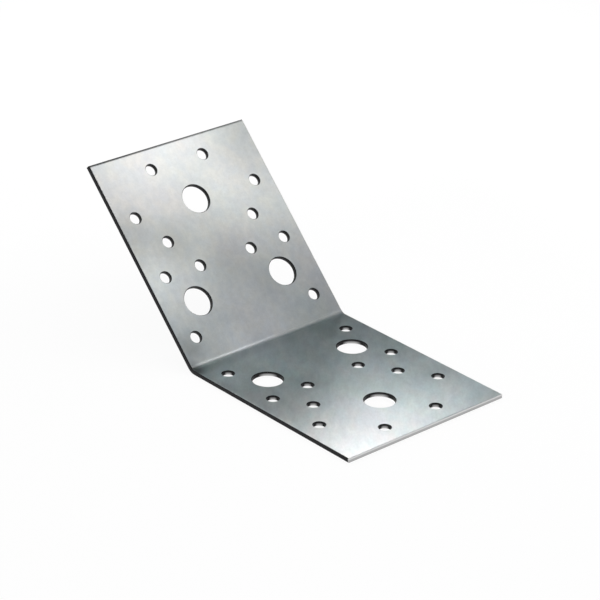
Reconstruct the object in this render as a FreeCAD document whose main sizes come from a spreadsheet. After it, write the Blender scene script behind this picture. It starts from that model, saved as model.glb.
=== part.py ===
# Perforated angle bracket: one punched sheet of galvanised steel, folded once to an obtuse angle.
# Millimetres. The base leaf lies on z = 0 and runs to +X, the rising leaf climbs towards -X, and the
# fold runs along Y. The origin is the axis of the base leaf's centre bolt, on the leaf's underside.
import FreeCAD, Part
import math
import os
import Sketcher

SIZES = {
    "sheet_width": 90.0,
    "sheet_thickness": 2.0,
    # Each leaf, from the sharp corner of the outside faces to its free end
    "leaf_length": 105.0,
    # The fold: the angle between the leaves in degrees, and the radius on the inside
    "fold_angle": 135.0,
    "fold_radius": 4.0,
    # The punched holes
    "bolt_hole_diameter": 14.0,
    "nail_hole_diameter": 5.5,
    # Rows of holes, from the outside corner or from the free end
    "first_row": 14.0,
    "centre_bolt_to_end": 30.0,
    "last_row_to_end": 10.5,
    # Columns of holes, from the sides or from the centre line
    "side_margin": 10.0,
    "inner_column": 15.0,
    # What the shears and the punches round off on the inside of the angle
    "edge_roll": 0.4,
    "rim_roll": 0.3,
}

# Rows of holes, counted from the fold: these are evenly spaced, and the last one is by the free end.
EVEN_ROWS = ("first", "second", "third", "fourth", "centre_bolt")
CENTRE_BOLT = "Sizes.leaf_length - Sizes.centre_bolt_to_end"

# The holes of one leaf, as row and column: each is a pair, one on either side of the centre line.
BOLT_PAIRS = (("second", "middle"),)
NAIL_PAIRS = (
    ("first", "edge"),
    ("third", "edge"),
    ("third", "inner"),
    ("fourth", "middle"),
    ("centre_bolt", "edge"),
    ("last", "inner"),
)

# How a sketch numbers the points of a line or an arc, and the origin and the axis that it always has
START, END, CENTRE = range(1, 4)
HORIZONTAL_AXIS = -1
ORIGIN = (HORIZONTAL_AXIS, START)

TOUCHING = 1e-6


def make_sheet(doc):
    sheet = doc.addObject("Spreadsheet::Sheet", "Sizes")
    for line, (alias, value) in enumerate(SIZES.items(), start=1):
        sheet.set(f"A{line}", alias)
        sheet.set(f"B{line}", str(value))
        sheet.setAlias(f"B{line}", alias)
    doc.recompute()
    return sheet


def origin_plane(body, role):
    return next(item for item in body.Origin.OriginFeatures if item.Role == role)


def new_sketch(body, name, plane_role):
    sketch = body.newObject("Sketcher::SketchObject", name)
    sketch.AttachmentSupport = [(origin_plane(body, plane_role), "")]
    sketch.MapMode = "FlatFace"
    return sketch


def bind(sketch, name, value, expression, kind, *places):
    """Add a dimension to a sketch at its present value, and tie it to the sheet."""
    if kind == "Angle":
        value = math.radians(value)
        expression = f"({expression}) * 1 deg"
    index = sketch.addConstraint(Sketcher.Constraint(kind, *places, value))
    sketch.renameConstraint(index, name)
    sketch.setExpression(f"Constraints.{name}", expression)


def fold_points(sheet):
    """The corners of the sheet's edge, seen along the fold, with the outside corner at zero."""
    angle = math.radians(sheet.fold_angle)
    along = FreeCAD.Vector(math.cos(angle), math.sin(angle), 0)
    inward = FreeCAD.Vector(math.sin(angle), -math.cos(angle), 0)
    across = FreeCAD.Vector(0, sheet.sheet_thickness, 0)
    setback = (sheet.fold_radius + sheet.sheet_thickness) / math.tan(angle / 2)
    base_start = FreeCAD.Vector(setback, 0, 0)
    base_end = FreeCAD.Vector(sheet.leaf_length, 0, 0)
    rise_start = along * setback
    rise_end = along * sheet.leaf_length
    bend_centre = base_start + FreeCAD.Vector(0, sheet.fold_radius + sheet.sheet_thickness, 0)
    return {
        "base_out": (base_start, base_end),
        "base_in": (base_start + across, base_end + across),
        "rise_out": (rise_start, rise_end),
        "rise_in": (rise_start + inward * sheet.sheet_thickness, rise_end + inward * sheet.sheet_thickness),
        "bend_centre": bend_centre,
    }


def draw_profile(body, sheet):
    """The sheet's edge as it is seen along the fold: two straight leaves joined by one bend."""
    sketch = new_sketch(body, "FoldProfile", "XZ_Plane")
    points = fold_points(sheet)
    base_out_start, base_out_end = points["base_out"]
    base_in_start, base_in_end = points["base_in"]
    rise_out_start, rise_out_end = points["rise_out"]
    rise_in_start, rise_in_end = points["rise_in"]
    facing_up = FreeCAD.Vector(0, 0, 1)
    first_angle = math.radians(sheet.fold_angle + 90)
    last_angle = math.radians(270)

    def arc(radius):
        circle = Part.Circle(points["bend_centre"], facing_up, radius)
        return Part.ArcOfCircle(circle, first_angle, last_angle)

    base_out = sketch.addGeometry(Part.LineSegment(base_out_start, base_out_end))
    base_tip = sketch.addGeometry(Part.LineSegment(base_out_end, base_in_end))
    base_in = sketch.addGeometry(Part.LineSegment(base_in_end, base_in_start))
    bend_in = sketch.addGeometry(arc(sheet.fold_radius))
    rise_in = sketch.addGeometry(Part.LineSegment(rise_in_start, rise_in_end))
    rise_tip = sketch.addGeometry(Part.LineSegment(rise_in_end, rise_out_end))
    rise_out = sketch.addGeometry(Part.LineSegment(rise_out_end, rise_out_start))
    bend_out = sketch.addGeometry(arc(sheet.fold_radius + sheet.sheet_thickness))

    base_corners = ((base_out, base_tip), (base_tip, base_in))
    rise_corners = ((rise_in, rise_tip), (rise_tip, rise_out))
    for first, second in base_corners + rise_corners:
        sketch.addConstraint(Sketcher.Constraint("Coincident", first, END, second, START))
    sketch.addConstraint(Sketcher.Constraint("Tangent", base_in, END, bend_in, END))
    sketch.addConstraint(Sketcher.Constraint("Tangent", bend_in, START, rise_in, START))
    sketch.addConstraint(Sketcher.Constraint("Tangent", rise_out, END, bend_out, START))
    sketch.addConstraint(Sketcher.Constraint("Tangent", bend_out, END, base_out, START))
    sketch.addConstraint(Sketcher.Constraint("Coincident", bend_in, CENTRE, bend_out, CENTRE))
    sketch.addConstraint(Sketcher.Constraint("Perpendicular", base_out, base_tip))
    sketch.addConstraint(Sketcher.Constraint("Perpendicular", rise_out, rise_tip))

    # The outside faces are laid out from the sharp corner of their planes, which is the sketch's origin.
    sketch.addConstraint(Sketcher.Constraint("Horizontal", base_out))
    sketch.addConstraint(Sketcher.Constraint("PointOnObject", base_out, START, HORIZONTAL_AXIS))
    sketch.addConstraint(Sketcher.Constraint("PointOnObject", *ORIGIN, rise_out))
    dimensions = (
        ("fold_angle", "fold_angle", "Angle", (base_out, START, rise_out, END)),
        ("base_length", "leaf_length", "Distance", (*ORIGIN, base_out, END)),
        ("rise_length", "leaf_length", "Distance", (*ORIGIN, rise_out, START)),
        ("thickness", "sheet_thickness", "Distance", (base_tip,)),
        ("fold_radius", "fold_radius", "Radius", (bend_in,)),
    )
    for name, size, kind, places in dimensions:
        bind(sketch, name, getattr(sheet, size), f"Sizes.{size}", kind, *places)
    return sketch


def fold_sheet(body, profile):
    """The folded blank, as wide on either side of the centre line."""
    blank = body.newObject("PartDesign::Pad", "FoldedBlank")
    blank.Profile = profile
    blank.SideType = "Symmetric"
    blank.setExpression("Length", "Sizes.sheet_width")
    return blank


def row_places(sheet):
    """How far each row lies from the outside corner, along its leaf: as a number and as an expression."""
    centre_bolt = sheet.leaf_length - sheet.centre_bolt_to_end
    steps = len(EVEN_ROWS) - 1
    places = {}
    for step, row in enumerate(EVEN_ROWS):
        number = sheet.first_row + (centre_bolt - sheet.first_row) * step / steps
        expression = f"Sizes.first_row + ({CENTRE_BOLT} - Sizes.first_row) * {step} / {steps}"
        places[row] = (number, expression)
    last_row = sheet.leaf_length - sheet.last_row_to_end
    places["last"] = (last_row, "Sizes.leaf_length - Sizes.last_row_to_end")
    return places


def column_places(sheet):
    """How far each column lies from the centre line, given in the same two ways."""
    edge = sheet.sheet_width / 2 - sheet.side_margin
    edge_expression = "Sizes.sheet_width / 2 - Sizes.side_margin"
    middle = (edge + sheet.inner_column) / 2
    return {
        "edge": (edge, edge_expression),
        "inner": (sheet.inner_column, "Sizes.inner_column"),
        "middle": (middle, f"({edge_expression} + Sizes.inner_column) / 2"),
    }


def punch(body, sheet, name, pairs, rows_on_centre_line, diameter_name):
    """Punch one size of hole through the base leaf, in mirrored pairs and on the centre line."""
    sketch = new_sketch(body, f"{name}Pattern", "XY_Plane")
    rows = row_places(sheet)
    columns = column_places(sheet)
    diameter = getattr(sheet, diameter_name)
    circles = []

    def add_hole(along, across):
        middle = FreeCAD.Vector(along, across, 0)
        circle = sketch.addGeometry(Part.Circle(middle, FreeCAD.Vector(0, 0, 1), diameter / 2))
        if circles:
            sketch.addConstraint(Sketcher.Constraint("Equal", circles[0], circle))
        circles.append(circle)
        return circle

    for number, (row, column) in enumerate(pairs, start=1):
        along, along_expression = rows[row]
        across, across_expression = columns[column]
        near = add_hole(along, -across)
        far = add_hole(along, across)
        sketch.addConstraint(Sketcher.Constraint("Symmetric", near, CENTRE, far, CENTRE, HORIZONTAL_AXIS))
        bind(sketch, f"along_{number}", along, along_expression, "DistanceX", *ORIGIN, far, CENTRE)
        bind(sketch, f"across_{number}", across, across_expression, "DistanceY", *ORIGIN, far, CENTRE)
    for number, row in enumerate(rows_on_centre_line, start=1):
        along, expression = rows[row]
        middle = add_hole(along, 0)
        sketch.addConstraint(Sketcher.Constraint("PointOnObject", middle, CENTRE, HORIZONTAL_AXIS))
        bind(sketch, f"on_centre_{number}", along, expression, "DistanceX", *ORIGIN, middle, CENTRE)
    bind(sketch, "diameter", diameter, f"Sizes.{diameter_name}", "Diameter", circles[0])

    holes = body.newObject("PartDesign::Pocket", name)
    holes.Profile = sketch
    holes.Type = "ThroughAll"
    holes.Reversed = True
    return holes


def mirror_on_fold(body, features, sheet):
    """Repeat the holes on the rising leaf, mirrored in the plane that halves the fold."""
    plane = body.newObject("PartDesign::Plane", "FoldHalvingPlane")
    plane.AttachmentSupport = [(origin_plane(body, "YZ_Plane"), "")]
    plane.MapMode = "FlatFace"
    lean = FreeCAD.Rotation(FreeCAD.Vector(1, 0, 0), 90 - sheet.fold_angle / 2)
    plane.AttachmentOffset = FreeCAD.Placement(FreeCAD.Vector(), lean)
    plane.setExpression("AttachmentOffset.Rotation.Angle", "(90 - Sizes.fold_angle / 2) * 1 deg")
    mirror = body.newObject("PartDesign::Mirrored", "RisingLeafHoles")
    mirror.Originals = features
    mirror.MirrorPlane = (plane, [""])
    body.Tip = mirror
    return mirror


def faces_inside_the_angle(shape, sheet):
    """The leaves' inner faces and the inner bend: all lie one fold radius from the fold's centre line."""
    centre = fold_points(sheet)["bend_centre"]
    fold_centre = FreeCAD.Vector(centre.x, 0, centre.y)
    faces = []
    for face in shape.Faces:
        if isinstance(face.Surface, Part.Plane):
            reach = (fold_centre - face.CenterOfMass).dot(face.normalAt(0, 0))
        elif isinstance(face.Surface, Part.Cylinder) and abs(face.Surface.Axis.y) > 1 - TOUCHING:
            reach = face.Surface.Radius
        else:
            continue
        if abs(reach - sheet.fold_radius) < TOUCHING:
            faces.append(face)
    return faces


def rims_and_outline(shape, sheet):
    """Names of the edges that bound the inside of the angle: the holes' rims, and the sheet's outline."""
    uses = {}
    for face in faces_inside_the_angle(shape, sheet):
        for edge in face.Edges:
            uses[edge.hashCode()] = uses.get(edge.hashCode(), 0) + 1
    rims = []
    outline = []
    for number, edge in enumerate(shape.Edges, start=1):
        # An edge that two of these faces share runs between them, along the bend.
        if uses.get(edge.hashCode()) == 1:
            names = rims if edge.isClosed() else outline
            names.append(f"Edge{number}")
    return rims, outline


def roll_edges(body, punched, sheet):
    """Take the sharpness off the inside of the angle, where the tools first met the sheet."""
    rolled_rims = body.newObject("PartDesign::Chamfer", "RolledRims")
    rolled_rims.Base = (punched, rims_and_outline(punched.Shape, sheet)[0])
    rolled_rims.setExpression("Size", "Sizes.rim_roll")
    body.Document.recompute()
    rolled_outline = body.newObject("PartDesign::Fillet", "RolledOutline")
    rolled_outline.Base = (rolled_rims, rims_and_outline(rolled_rims.Shape, sheet)[1])
    rolled_outline.setExpression("Radius", "Sizes.edge_roll")
    return rolled_outline


def check_holes(blank, punched, sheet):
    """Compare what both leaves lost with the sheet that their punches take out."""
    bolt_area = math.pi * sheet.bolt_hole_diameter ** 2 / 4
    nail_area = math.pi * sheet.nail_hole_diameter ** 2 / 4
    bolts_per_leaf = 2 * len(BOLT_PAIRS) + 1
    nails_per_leaf = 2 * len(NAIL_PAIRS)
    expected = 2 * sheet.sheet_thickness * (bolts_per_leaf * bolt_area + nails_per_leaf * nail_area)
    removed = blank.Shape.Volume - punched.Shape.Volume
    print(f"holes: {removed:.1f} cubic mm removed, {expected:.1f} expected")


def make_folded_plate(doc, sheet):
    body = doc.addObject("PartDesign::Body", "FoldedPlate")
    body.Label = "folded_plate"
    blank = fold_sheet(body, draw_profile(body, sheet))
    doc.recompute()
    bolts = punch(body, sheet, "BoltHoles", BOLT_PAIRS, ("centre_bolt",), "bolt_hole_diameter")
    nails = punch(body, sheet, "NailHoles", NAIL_PAIRS, (), "nail_hole_diameter")
    punched = mirror_on_fold(body, [bolts, nails], sheet)
    doc.recompute()
    check_holes(blank, punched, sheet)
    roll_edges(body, punched, sheet)
    body.setExpression("Placement.Base.x", f"-({CENTRE_BOLT})")
    doc.recompute()
    return body


def check(doc, bodies):
    for item in doc.Objects:
        if "Invalid" in item.State or "Error" in item.State:
            raise RuntimeError(f"{item.Name} did not compute: {item.State}")
    for body in bodies:
        if body.Shape.isNull() or not body.Shape.isValid() or len(body.Shape.Solids) != 1:
            raise RuntimeError(f"{body.Label} is not one valid solid")


def write(bodies):
    os.makedirs("parts", exist_ok=True)
    for body in bodies:
        body.Shape.exportStep(f"parts/{body.Label}.step")
        box = body.Shape.BoundBox
        print(f"{body.Label}: volume {body.Shape.Volume:.1f}, x {box.XMin:.2f} to {box.XMax:.2f},"
              f" y {box.YMin:.2f} to {box.YMax:.2f}, z {box.ZMin:.2f} to {box.ZMax:.2f}")


doc = FreeCAD.newDocument("AngleBracket")
sheet = make_sheet(doc)
bodies = [make_folded_plate(doc, sheet)]
check(doc, bodies)
write(bodies)
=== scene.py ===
# Looks of the perforated angle bracket: galvanised sheet on a pale floor, in soft studio light.
# Lengths are in metres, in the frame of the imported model, and angles are in degrees.
import math

import bpy
from mathutils import Matrix, Vector


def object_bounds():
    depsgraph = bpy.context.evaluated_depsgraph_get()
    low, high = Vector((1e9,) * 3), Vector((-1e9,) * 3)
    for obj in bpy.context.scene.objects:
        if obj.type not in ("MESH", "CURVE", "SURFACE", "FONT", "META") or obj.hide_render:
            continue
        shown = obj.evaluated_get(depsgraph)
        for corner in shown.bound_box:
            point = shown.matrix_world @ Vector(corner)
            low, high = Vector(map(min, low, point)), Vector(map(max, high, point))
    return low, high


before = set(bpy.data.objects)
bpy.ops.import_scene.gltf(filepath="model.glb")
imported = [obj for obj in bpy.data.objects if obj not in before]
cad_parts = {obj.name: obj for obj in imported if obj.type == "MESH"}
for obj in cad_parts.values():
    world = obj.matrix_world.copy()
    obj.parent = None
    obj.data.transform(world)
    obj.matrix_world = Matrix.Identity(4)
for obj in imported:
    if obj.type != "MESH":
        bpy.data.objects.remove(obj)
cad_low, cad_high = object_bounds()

# Camera, as solved from the corners and holes in the photograph
CAMERA_AIM = Vector((-0.0540, 0.0005, 0.0298))
CAMERA_DISTANCE = 1.1247
CAMERA_AZIMUTH = 48.64
CAMERA_ELEVATION = 25.91
CAMERA_ROLL = 0.86
CAMERA_LENS = 152.0
CAMERA_CLIP_START = 0.01

# Bracket: the sheet's real sizes, and the rest from the CAD box
LEAF_LENGTH = 0.105
FOLD_ANGLE = 135.0
THICKNESS = 0.002
FOLD_X = cad_high[0] - LEAF_LENGTH
HALF_WIDTH = cad_high[1]

# Zinc coating: its grey at the ends of each leaf, the base leaf lighter towards its front left corner as
# a painted reflection, and the pairs of faint casts that drift over it
ZINC_RISING_END = (0.610, 0.618, 0.608)
ZINC_RISING_FOLD = (0.578, 0.608, 0.620)
ZINC_BASE = (0.545, 0.613, 0.621)
ZINC_BASE_PAINTED_REFLECTION = (0.640, 0.638, 0.633)
CAST_GREENISH = (0.986, 1.006, 0.998)
CAST_PURPLISH = (1.010, 0.994, 1.006)
CAST_WARM = (1.014, 0.999, 0.976)
CAST_COOL = (0.986, 1.001, 1.024)
CAST_LEAFY = (0.975, 1.006, 1.000)
CAST_ROSY = (1.025, 0.994, 1.000)
CAST_NOISE_RANGE = (0.35, 0.65)
RISING_DRIFT = (0.015, 0.060)

# The marks of the coating, and how rough it is on the leaves and in the stretched skin of the fold
ZINC_ROUGHNESS = 0.30
FOLD_ROUGHNESS = 0.40
FOLD_REACH = 0.0035
# Painted shade in the bend and on the base leaf beside it
PAINTED_FOLD_SHADE = 0.75
BEND_REACH_LEFT = 0.0020
BEND_REACH_RIGHT = 0.0030
BEND_CHANGE = 0.010
PAINTED_SHADE_REACH = 0.0100
CLOUD_SIZE = 0.030
CLOUD_ROUGHNESS = 0.008
PATCH_SIZE = 0.0065
PATCH_CONTRAST = 0.035
MOTTLE_SIZE = 0.0030
MOTTLE_CONTRAST = 0.045
MOTTLE_ROUGHNESS = 0.010
GRAIN_SIZE = 0.0009
GRAIN_CONTRAST = 0.030
TINT_SIZE = 0.0048
MARK_NOISE_RANGE = (0.3, 0.7)
STREAK_TURN = -41.0
STREAK_STRETCH = 2.2
STREAK_STRENGTH = 1.35
WAVE_SIZE = 0.045
WAVE_DEPTH = 0.00010

# Painted shade and painted highlights: soft dark and bright patches laid on the zinc where the photograph
# shows darker and brighter reflections, the painted shade in the fold's left corner first
PAINTED_SHADE_AND_HIGHLIGHT_MARKS = (
    # leaf, along it from the fold, across it, reach, shade at the middle
    ("base", 0.0025, -0.0445, 0.007, 0.30),
    ("base", 0.018, -0.038, 0.016, 1.28),
    ("base", 0.024, -0.012, 0.022, 1.20),
    ("base", 0.007, 0.010, 0.010, 0.84),
    ("base", 0.010, 0.026, 0.014, 0.82),
    ("base", 0.054, -0.034, 0.020, 0.85),
    ("base", 0.044, -0.012, 0.014, 0.86),
    ("base", 0.082, -0.004, 0.026, 1.10),
    ("base", 0.073, 0.038, 0.016, 0.86),
    ("rising", 0.103, 0.040, 0.030, 0.76),
    ("rising", 0.072, 0.018, 0.024, 1.15),
    ("rising", 0.047, -0.042, 0.018, 1.22),
    ("rising", 0.072, -0.038, 0.014, 0.88),
    ("rising", 0.060, -0.022, 0.016, 0.87),
    ("rising", 0.042, 0.002, 0.020, 0.86),
    ("rising", 0.028, 0.016, 0.016, 0.87),
    ("rising", 0.010, -0.041, 0.012, 0.72),
    ("rising", 0.005, -0.016, 0.014, 1.16),
    ("rising", 0.006, 0.006, 0.014, 1.10),
)

# Bare steel where the sheet was cut: dark steel deepened with painted shade on the slit sides and in the
# holes, painted light at the foot of hole walls that face one way, and grey on the front end with a
# painted highlight on its top rim
CUT_DARK_WITH_PAINTED_SHADE = (0.020, 0.020, 0.021)
CUT_FACING_RANGE = (0.72, 0.90)
WALL_FOOT_PAINTED_LIGHT = (0.50, 0.50, 0.50)
PAINTED_LIGHT_FOOT_HEIGHTS = (0.0004, 0.0014)
PAINTED_LIGHT_FACING = (0.75, -0.66, 0.0)
PAINTED_LIGHT_FACING_RANGE = (0.80, 0.97)
CUT_BRIGHT = (0.44, 0.44, 0.44)
FRONT_RIM_PAINTED_HIGHLIGHT = (0.72, 0.72, 0.72)
PAINTED_HIGHLIGHT_HEIGHTS = (0.0010, 0.0015)
CUT_ROUGHNESS = 0.5
FRONT_LINE = 0.0006
TOP_LINE = 0.0012
TOP_LINE_SHARES = (0.90, 0.50)
SIDE_LINE = 0.0006

# Studio: lamps and cards stand round the bracket's middle and face it, azimuth counted from +X towards +Y
STUDIO_MIDDLE = Vector((-0.060, 0.0, 0.030))
WORLD_STRENGTH = 1.0
LAMPS = (
    # name, azimuth, elevation, distance, roll, width, height, radiance
    ("lamp_left", 137.0, 25.5, 0.505, -21.0, 0.125, 0.315, 4.4),
    ("lamp_top", 85.0, 57.5, 0.345, 8.0, 0.125, 0.120, 1.9),
    ("lamp_low", 76.0, 38.0, 0.425, -5.0, 0.035, 0.065, 4.4),
    ("lamp_small", 54.0, 42.5, 0.505, -12.0, 0.046, 0.045, 1.8),
    ("lamp_near_low", 61.0, 64.0, 0.115, 2.0, 0.025, 0.025, 1.2),
    ("lamp_near_right", 88.5, 43.0, 0.175, 3.0, 0.021, 0.024, 1.0),
    ("lamp_near_base", 127.5, 42.5, 0.220, 0.0, 0.032, 0.033, 1.15),
    ("lamp_near_top", 88.0, 63.0, 0.230, 0.0, 0.034, 0.036, 1.0),
    ("lamp_near_front", 122.0, 26.5, 0.155, 0.0, 0.023, 0.027, 0.37),
)
CARDS = (
    # name, azimuth, elevation, distance, roll, width, height, radiance at its foot and at its top
    ("card_near", 159.5, 28.0, 0.195, -11.5, 0.370, 0.118, 0.14, 0.14),
    ("card_dark", 98.0, 32.5, 0.730, 12.0, 0.805, 1.160, 0.04, 0.20),
    ("card_grey", 72.0, 53.5, 0.795, 16.5, 0.515, 0.975, 0.05, 0.05),
)
CARD_TINT = (0.93, 1.02, 1.05)

# Floor
FLOOR_SIZE = 8.0
FLOOR_DROP = 0.0002
FLOOR_COLOUR = (0.85, 0.85, 0.85)
FLOOR_WHITE_SHARE = 0.90


def principled(name):
    """A new material and its main shader."""
    material = bpy.data.materials.new(name)
    material.use_nodes = True
    shader = material.node_tree.nodes["Principled BSDF"]
    return material, shader


def add_node(tree, kind, **settings):
    """A node of that kind, with its settings."""
    node = tree.nodes.new(kind)
    for key, value in settings.items():
        setattr(node, key, value)
    return node


def join(tree, value, socket):
    """Links an output to an input, or sets the input's number."""
    if isinstance(value, bpy.types.NodeSocket):
        tree.links.new(value, socket)
    else:
        socket.default_value = value


def maths(tree, operation, first, second=0.0):
    """The result of one sum, product or comparison."""
    node = add_node(tree, "ShaderNodeMath", operation=operation)
    join(tree, first, node.inputs[0])
    join(tree, second, node.inputs[1])
    return node.outputs[0]


def spread(tree, value, low, high, start=0.0, end=1.0, kind="LINEAR"):
    """A value from start to end, taken to the range from low to high."""
    node = add_node(tree, "ShaderNodeMapRange", interpolation_type=kind)
    join(tree, value, node.inputs["Value"])
    node.inputs["From Min"].default_value = start
    node.inputs["From Max"].default_value = end
    node.inputs["To Min"].default_value = low
    node.inputs["To Max"].default_value = high
    return node.outputs["Result"]


def blend_colours(tree, share, first, second):
    """One colour going to another."""
    node = add_node(tree, "ShaderNodeMix", data_type="RGBA")
    join(tree, share, node.inputs["Factor"])
    for value, socket in ((first, node.inputs["A"]), (second, node.inputs["B"])):
        if isinstance(value, tuple):
            value = (*value, 1)
        join(tree, value, socket)
    return node.outputs["Result"]


def scale_colour(tree, colour, factor):
    """A colour made lighter or darker by a factor."""
    node = add_node(tree, "ShaderNodeVectorMath", operation="SCALE")
    join(tree, colour, node.inputs[0])
    join(tree, factor, node.inputs["Scale"])
    return node.outputs[0]


def multiply_colours(tree, first, second):
    """One colour filtered by another."""
    node = add_node(tree, "ShaderNodeVectorMath", operation="MULTIPLY")
    join(tree, first, node.inputs[0])
    join(tree, second, node.inputs[1])
    return node.outputs[0]


def noise(tree, place, size, detail=2.0):
    """Soft random marks of about that size."""
    node = add_node(tree, "ShaderNodeTexNoise")
    join(tree, place, node.inputs["Vector"])
    node.inputs["Scale"].default_value = 1 / size
    node.inputs["Detail"].default_value = detail
    return node.outputs["Fac"]


def swing(tree, value, amount, middle=1.0):
    """A value that swings by that amount about its middle with a noise."""
    return spread(tree, value, middle - amount, middle + amount, *MARK_NOISE_RANGE)


def choose(tree, share, first, second):
    """A value going from the first to the second."""
    gain = maths(tree, "SUBTRACT", second, first)
    return maths(tree, "ADD", maths(tree, "MULTIPLY", gain, share), first)


def place_camera():
    """The camera stands on the photograph's side of the bracket and looks at its middle."""
    azimuth = math.radians(CAMERA_AZIMUTH)
    elevation = math.radians(CAMERA_ELEVATION)
    back = Vector((
        math.sin(azimuth) * math.cos(elevation),
        -math.cos(azimuth) * math.cos(elevation),
        math.sin(elevation),
    ))
    right = Vector((0, 0, 1)).cross(back).normalized()
    up = back.cross(right)
    turn = Matrix((right, up, back)).transposed().to_4x4()
    roll = Matrix.Rotation(math.radians(CAMERA_ROLL), 4, "Z")
    data = bpy.data.cameras.new("camera")
    data.lens = CAMERA_LENS
    data.clip_start = CAMERA_CLIP_START
    camera = bpy.data.objects.new("camera", data)
    bpy.context.scene.collection.objects.link(camera)
    camera.matrix_world = Matrix.Translation(CAMERA_AIM + CAMERA_DISTANCE * back) @ turn @ roll
    bpy.context.scene.camera = camera


def light_world():
    """Plain white all round, at the level where a colour renders as it is written."""
    world = bpy.data.worlds.new("studio")
    bpy.context.scene.world = world
    world.use_nodes = True
    background = world.node_tree.nodes["Background"]
    background.inputs["Color"].default_value = (1, 1, 1, 1)
    background.inputs["Strength"].default_value = WORLD_STRENGTH


def studio_place(azimuth, elevation, distance, roll):
    """Where a lamp or card stands: its +Z side faces the bracket's middle, and its +Y side is up."""
    turn = math.radians(azimuth)
    lift = math.radians(elevation)
    outward = Vector((
        math.cos(turn) * math.cos(lift),
        math.sin(turn) * math.cos(lift),
        math.sin(lift),
    ))
    facing = -outward
    right = Vector((0, 0, 1)).cross(facing).normalized()
    up = facing.cross(right)
    axes = Matrix((right, up, facing)).transposed().to_4x4()
    spin = Matrix.Rotation(math.radians(roll), 4, "Z")
    return Matrix.Translation(STUDIO_MIDDLE + distance * outward) @ axes @ spin


def floor_white():
    """The floor's material: plain white where it is seen, over a pale grey that keeps the shadow."""
    material = bpy.data.materials.new("floor_white")
    material.use_nodes = True
    tree = material.node_tree
    tree.nodes.clear()
    output = add_node(tree, "ShaderNodeOutputMaterial")
    mix = add_node(tree, "ShaderNodeMixShader")
    diffuse = add_node(tree, "ShaderNodeBsdfDiffuse")
    diffuse.inputs["Color"].default_value = (*FLOOR_COLOUR, 1)
    white = add_node(tree, "ShaderNodeEmission")
    white.inputs["Strength"].default_value = 1.0
    path = add_node(tree, "ShaderNodeLightPath").outputs
    seen = maths(tree, "MAXIMUM", path["Is Camera Ray"], path["Is Glossy Ray"])
    seen = maths(tree, "MAXIMUM", seen, path["Is Transmission Ray"])
    join(tree, maths(tree, "MULTIPLY", seen, FLOOR_WHITE_SHARE), mix.inputs["Fac"])
    join(tree, diffuse.outputs[0], mix.inputs[1])
    join(tree, white.outputs[0], mix.inputs[2])
    join(tree, mix.outputs[0], output.inputs["Surface"])
    return material


def rectangle(name, width, height, level=0.0):
    """A new object of one rectangle round its own origin, at that height."""
    x = width / 2
    y = height / 2
    mesh = bpy.data.meshes.new(name)
    corners = [(-x, -y, level), (x, -y, level), (x, y, level), (-x, y, level)]
    mesh.from_pydata(corners, [], [(0, 1, 2, 3)])
    sheet = bpy.data.objects.new(name, mesh)
    bpy.context.scene.collection.objects.link(sheet)
    return sheet


def make_floor():
    """A wide pale floor, mostly plain white to the camera, that keeps the bracket's soft shadow."""
    floor = rectangle("floor", FLOOR_SIZE, FLOOR_SIZE, -FLOOR_DROP)
    floor.data.materials.append(floor_white())


def add_lamp(name, azimuth, elevation, distance, roll, width, height, radiance):
    """A soft rectangular lamp that the camera doesn't see."""
    data = bpy.data.lights.new(name, "AREA")
    data.shape = "RECTANGLE"
    data.size = width
    data.size_y = height
    data.energy = math.pi * width * height * radiance
    lamp = bpy.data.objects.new(name, data)
    bpy.context.scene.collection.objects.link(lamp)
    flip = Matrix.Rotation(math.pi, 4, "Y")
    lamp.matrix_world = studio_place(azimuth, elevation, distance, roll) @ flip
    lamp.visible_camera = False


def card_grey(name, height, foot, top):
    """A card's glow, graduated from its foot to its top."""
    material = bpy.data.materials.new(name)
    material.use_nodes = True
    tree = material.node_tree
    tree.nodes.clear()
    output = add_node(tree, "ShaderNodeOutputMaterial")
    grey = add_node(tree, "ShaderNodeEmission")
    grey.inputs["Color"].default_value = (*CARD_TINT, 1)
    place = add_node(tree, "ShaderNodeTexCoord")
    split = add_node(tree, "ShaderNodeSeparateXYZ")
    join(tree, place.outputs["Object"], split.inputs[0])
    strength = spread(tree, split.outputs["Y"], foot, top, -height / 2, height / 2)
    join(tree, strength, grey.inputs["Strength"])
    join(tree, grey.outputs[0], output.inputs["Surface"])
    return material


def add_card(name, azimuth, elevation, distance, roll, width, height, foot, top):
    """A grey reflector card that only the metal sees."""
    card = rectangle(name, width, height)
    card.matrix_world = studio_place(azimuth, elevation, distance, roll)
    card.visible_camera = False
    card.visible_diffuse = False
    card.data.materials.append(card_grey(name, height, foot, top))


def leaf_places(tree, place):
    """Whether a point is on the rising leaf, how far along its leaf and across it, and its height."""
    split = add_node(tree, "ShaderNodeSeparateXYZ")
    join(tree, place, split.inputs[0])
    angle = math.radians(FOLD_ANGLE)
    from_corner = maths(tree, "SUBTRACT", split.outputs["X"], FOLD_X)
    on_halving_plane = maths(tree, "MULTIPLY", split.outputs["Z"], 1 / math.tan(angle / 2))
    rising = maths(tree, "LESS_THAN", from_corner, on_halving_plane)
    run = maths(tree, "MULTIPLY", from_corner, math.cos(angle))
    climb = maths(tree, "MULTIPLY", split.outputs["Z"], math.sin(angle))
    along = choose(tree, rising, from_corner, maths(tree, "ADD", run, climb))
    return rising, along, split.outputs["Y"], split.outputs["Z"]


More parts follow.
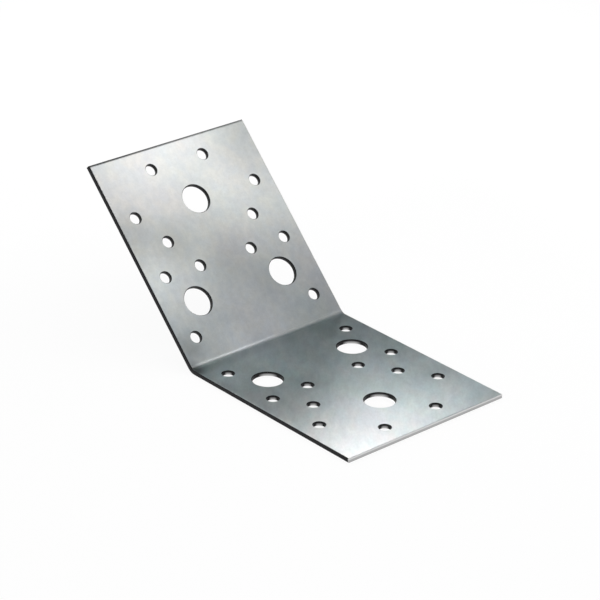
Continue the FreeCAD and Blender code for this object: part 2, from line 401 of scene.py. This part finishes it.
def streaked(tree, place, rising):
    """A place squeezed so that the marks on the base leaf are drawn out into slanting streaks."""
    squeeze = add_node(tree, "ShaderNodeMapping", vector_type="TEXTURE")
    join(tree, place, squeeze.inputs["Vector"])
    squeeze.inputs["Rotation"].default_value = (0, 0, math.radians(STREAK_TURN))
    squeeze.inputs["Scale"].default_value = (STREAK_STRETCH, 1, 1)
    node = add_node(tree, "ShaderNodeMix", data_type="VECTOR")
    join(tree, rising, node.inputs["Factor"])
    join(tree, squeeze.outputs[0], node.inputs["A"])
    join(tree, place, node.inputs["B"])
    return node.outputs["Result"]


def facing_share(tree, normal, direction):
    """How far a normal points in a direction: 1 straight along it, -1 straight against it."""
    dot = add_node(tree, "ShaderNodeVectorMath", operation="DOT_PRODUCT")
    join(tree, normal, dot.inputs[0])
    dot.inputs[1].default_value = direction
    return dot.outputs["Value"]


def cut_share(tree, normal, rising):
    """1 on the cut sides, ends and hole walls with their rims, 0 on the faces of the two leaves."""
    facings = []
    tilt = math.radians(180 - FOLD_ANGLE)
    for leaf_normal in ((0, 0, 1), (math.sin(tilt), 0, math.cos(tilt))):
        facings.append(maths(tree, "ABSOLUTE", facing_share(tree, normal, leaf_normal)))
    facing = choose(tree, rising, *facings)
    return spread(tree, facing, 1.0, 0.0, *CUT_FACING_RANGE, "SMOOTHSTEP")


def cut_colour(tree, rising, along, across, height, normal):
    """Dark steel with painted shade, a paler painted light at the foot of the base leaf's hole walls that
    face one way, and grey on the front end with a painted highlight on its top rim.
    """
    on_base = maths(tree, "SUBTRACT", 1.0, rising)
    inside = maths(tree, "LESS_THAN", maths(tree, "ABSOLUTE", across), HALF_WIDTH - SIDE_LINE)
    # Painted light: hole walls facing one fixed way are paler at their foot
    facing = facing_share(tree, normal, PAINTED_LIGHT_FACING)
    foot = spread(tree, height, 1.0, 0.0, *PAINTED_LIGHT_FOOT_HEIGHTS)
    foot = maths(tree, "MULTIPLY", foot, spread(tree, facing, 0.0, 1.0, *PAINTED_LIGHT_FACING_RANGE))
    foot = maths(tree, "MULTIPLY", foot, maths(tree, "MULTIPLY", on_base, inside))
    walls = blend_colours(tree, foot, CUT_DARK_WITH_PAINTED_SHADE, WALL_FOOT_PAINTED_LIGHT)
    front = maths(tree, "GREATER_THAN", along, LEAF_LENGTH - FRONT_LINE)
    front = maths(tree, "MULTIPLY", front, on_base)
    # Painted highlight: the front end is lighter towards its top rim
    rim_painted_highlight = spread(tree, height, 0.0, 1.0, *PAINTED_HIGHLIGHT_HEIGHTS)
    return blend_colours(tree, front, walls, blend_colours(tree, rim_painted_highlight, CUT_BRIGHT, FRONT_RIM_PAINTED_HIGHLIGHT))


def edge_lines(tree, rising, along, across):
    """Dark lines just inside the rising leaf's top edge and left side, strongest where the two meet."""
    top = spread(tree, along, 0.0, 1.0, LEAF_LENGTH - TOP_LINE, LEAF_LENGTH - TOP_LINE / 2)
    fade = spread(tree, across, *TOP_LINE_SHARES, -HALF_WIDTH, HALF_WIDTH)
    side = spread(tree, across, 1.0, 0.0, SIDE_LINE / 2 - HALF_WIDTH, SIDE_LINE - HALF_WIDTH)
    lines = maths(tree, "MAXIMUM", maths(tree, "MULTIPLY", top, fade), side)
    return maths(tree, "MULTIPLY", lines, rising)


def cast(tree, value, first, second):
    """A faint cast that drifts from the first colour to the second with a noise."""
    return blend_colours(tree, spread(tree, value, 0.0, 1.0, *CAST_NOISE_RANGE), first, second)


def zinc_colour(tree, rising, along, across, cloud, patch, tint):
    """The grey of each leaf with its slow drift, on the base leaf a painted reflection towards its front
    left corner, its finer drift of colour, and the base leaf's specks.
    """
    drift = spread(tree, along, 0.0, 1.0, *RISING_DRIFT)
    rise = blend_colours(tree, drift, ZINC_RISING_FOLD, ZINC_RISING_END)
    forward = spread(tree, along, -0.5, 0.5, 0.0, LEAF_LENGTH)
    leftward = spread(tree, across, 0.5, -0.5, -HALF_WIDTH, HALF_WIDTH)
    to_painted_reflection = maths(tree, "ADD", forward, leftward)
    base = blend_colours(tree, to_painted_reflection, ZINC_BASE, ZINC_BASE_PAINTED_REFLECTION)
    grey = blend_colours(tree, rising, base, rise)
    specks = cast(tree, tint, CAST_LEAFY, CAST_ROSY)
    specks = blend_colours(tree, rising, specks, (1.0, 1.0, 1.0))
    colour = multiply_colours(tree, grey, specks)
    colour = multiply_colours(tree, colour, cast(tree, cloud, CAST_GREENISH, CAST_PURPLISH))
    return multiply_colours(tree, colour, cast(tree, patch, CAST_WARM, CAST_COOL))


def speckle_shade(tree, rising, patch, mottle, grain):
    """The fine marks of the coating, stronger where they are streaks on the base leaf."""
    shade = swing(tree, patch, -PATCH_CONTRAST)
    shade = maths(tree, "MULTIPLY", shade, swing(tree, mottle, MOTTLE_CONTRAST))
    shade = maths(tree, "MULTIPLY", shade, swing(tree, grain, GRAIN_CONTRAST))
    return maths(tree, "POWER", shade, choose(tree, rising, STREAK_STRENGTH, 1.0))


def leaf_point(leaf, along, across):
    """A point on the inside face of a leaf."""
    if leaf == "base":
        return FOLD_X + along, across, THICKNESS
    angle = math.radians(FOLD_ANGLE)
    x = FOLD_X + math.cos(angle) * along + math.sin(angle) * THICKNESS
    z = math.sin(angle) * along - math.cos(angle) * THICKNESS
    return x, across, z


def painted_mark_shade(tree, place):
    """The painted shade and painted highlights of the marks, and 1 away from them."""
    shade = 1.0
    for leaf, along, across, reach, middle_shade in PAINTED_SHADE_AND_HIGHLIGHT_MARKS:
        away = add_node(tree, "ShaderNodeVectorMath", operation="DISTANCE")
        join(tree, place, away.inputs[0])
        away.inputs[1].default_value = leaf_point(leaf, along, across)
        mark = spread(tree, away.outputs["Value"], middle_shade, 1.0, 0.0, reach, "SMOOTHSTEP")
        shade = maths(tree, "MULTIPLY", mark, shade)
    return shade


def painted_fold_shade(tree, rising, along, across):
    """Painted shade: darker in the bend, over a shorter reach on the left, and less so on the base leaf
    beside it.
    """
    to_right = spread(tree, across, 0.0, 1.0, -BEND_CHANGE, BEND_CHANGE, "SMOOTHSTEP")
    reach = choose(tree, to_right, BEND_REACH_LEFT, BEND_REACH_RIGHT)
    bend = spread(tree, maths(tree, "DIVIDE", along, reach), PAINTED_FOLD_SHADE, 1.0, 0.5, 1.0, "SMOOTHSTEP")
    beside = spread(tree, along, PAINTED_FOLD_SHADE, 1.0, BEND_REACH_RIGHT, PAINTED_SHADE_REACH, "SMOOTHSTEP")
    return maths(tree, "MULTIPLY", bend, choose(tree, rising, beside, bend))


def zinc_roughness(tree, along, mottle, cloud):
    """Satin zinc, uneven with its marks and duller in the stretched skin of the fold."""
    start = FOLD_REACH / 2
    skin = spread(tree, along, FOLD_ROUGHNESS, ZINC_ROUGHNESS, start, FOLD_REACH, "SMOOTHSTEP")
    skin = maths(tree, "ADD", skin, swing(tree, mottle, MOTTLE_ROUGHNESS, 0.0))
    return maths(tree, "ADD", skin, swing(tree, cloud, CLOUD_ROUGHNESS, 0.0))


def sheet_wave(tree, place):
    """The slight waviness of rolled sheet."""
    bump = add_node(tree, "ShaderNodeBump")
    bump.inputs["Distance"].default_value = WAVE_DEPTH
    join(tree, noise(tree, place, WAVE_SIZE, detail=0.0), bump.inputs["Height"])
    return bump.outputs[0]


def galvanised():
    """Zinc coated sheet with its marks, painted shade and painted highlights, and bare steel where it was
    cut, also with painted shade and painted light.
    """
    material, shader = principled("galvanised_steel")
    tree = material.node_tree
    coords = add_node(tree, "ShaderNodeTexCoord")
    place = coords.outputs["Object"]
    rising, along, across, height = leaf_places(tree, place)
    cut = cut_share(tree, coords.outputs["Normal"], rising)
    cut = maths(tree, "MAXIMUM", cut, edge_lines(tree, rising, along, across))

    cloud = noise(tree, place, CLOUD_SIZE, detail=3.0)
    streak_place = streaked(tree, place, rising)
    patch = noise(tree, streak_place, PATCH_SIZE)
    mottle = noise(tree, streak_place, MOTTLE_SIZE)
    grain = noise(tree, streak_place, GRAIN_SIZE)
    tint = noise(tree, streak_place, TINT_SIZE)
    shade = speckle_shade(tree, rising, patch, mottle, grain)
    # Painted shade and painted highlights from the soft marks
    shade = maths(tree, "MULTIPLY", shade, painted_mark_shade(tree, place))
    # Painted shade in the fold
    shade = maths(tree, "MULTIPLY", shade, painted_fold_shade(tree, rising, along, across))
    zinc = scale_colour(tree, zinc_colour(tree, rising, along, across, cloud, patch, tint), shade)

    steel = cut_colour(tree, rising, along, across, height, coords.outputs["Normal"])
    join(tree, blend_colours(tree, cut, zinc, steel), shader.inputs["Base Color"])

    skin = zinc_roughness(tree, along, mottle, cloud)
    join(tree, choose(tree, cut, skin, CUT_ROUGHNESS), shader.inputs["Roughness"])
    join(tree, sheet_wave(tree, place), shader.inputs["Normal"])
    shader.inputs["Metallic"].default_value = 1.0
    return material


place_camera()
light_world()
make_floor()
for lamp in LAMPS:
    add_lamp(*lamp)
for card in CARDS:
    add_card(*card)

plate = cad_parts["folded_plate"]
steel = galvanised()
if plate.data.materials:
    plate.data.materials[0] = steel
else:
    plate.data.materials.append(steel)

scene = bpy.context.scene
scene.view_settings.view_transform = "Standard"
